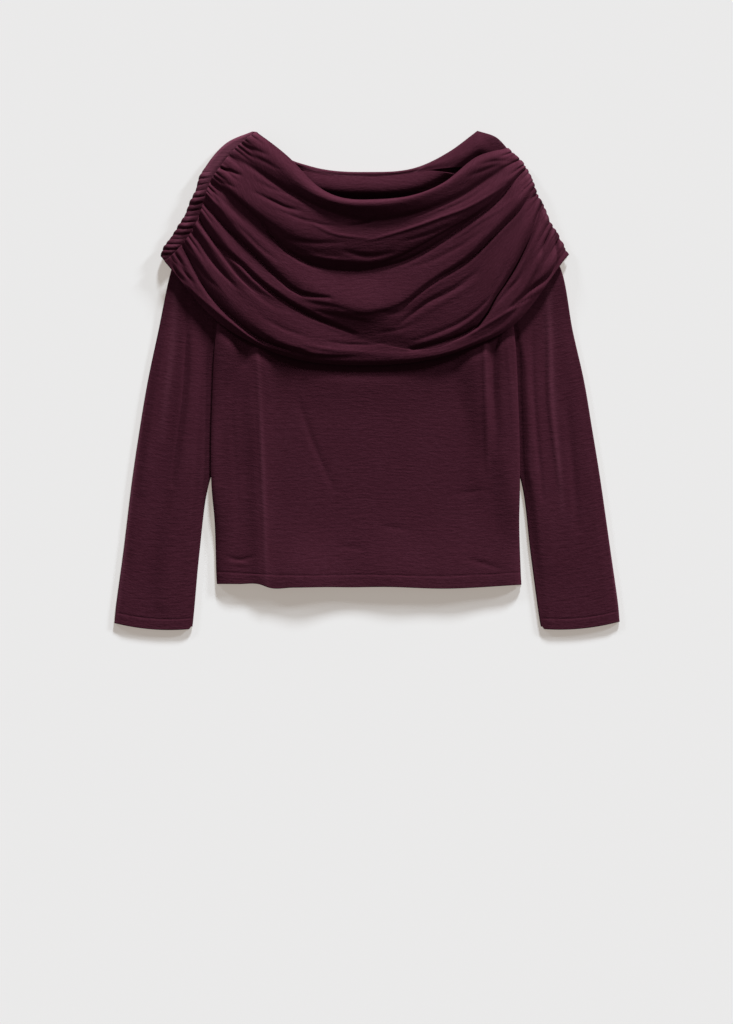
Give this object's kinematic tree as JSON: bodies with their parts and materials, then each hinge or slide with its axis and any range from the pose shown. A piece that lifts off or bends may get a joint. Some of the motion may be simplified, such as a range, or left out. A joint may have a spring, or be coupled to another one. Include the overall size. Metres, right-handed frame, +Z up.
{
  "type": "cowl neck sweater",
  "caption": "Fine knit off-the-shoulder sweater lying flat, with long sleeves and a wide draped fold-over cowl gathered at both shoulders",
  "frame": {"origin": "on the floor under the middle of the garment's bounding box", "axes": "+X to the right of the garment as seen from above, +Y from the hem to the neck, +Z up from the floor"},
  "size_m": [0.7074, 0.699, 0.0394],
  "materials": {
    "jersey": "fine plum knit, matt",
    "jersey_inside": "inner face of the fine plum knit, matt",
    "cowl_jersey": "fine plum knit, matt, draped"
  },
  "bodies": {
    "root": {"body_front": "jersey", "body_back": "jersey_inside", "sleeve_left": "jersey", "sleeve_right": "jersey", "cowl_front": "cowl_jersey", "cowl_back": "cowl_jersey"}
  },
  "joints": []
}
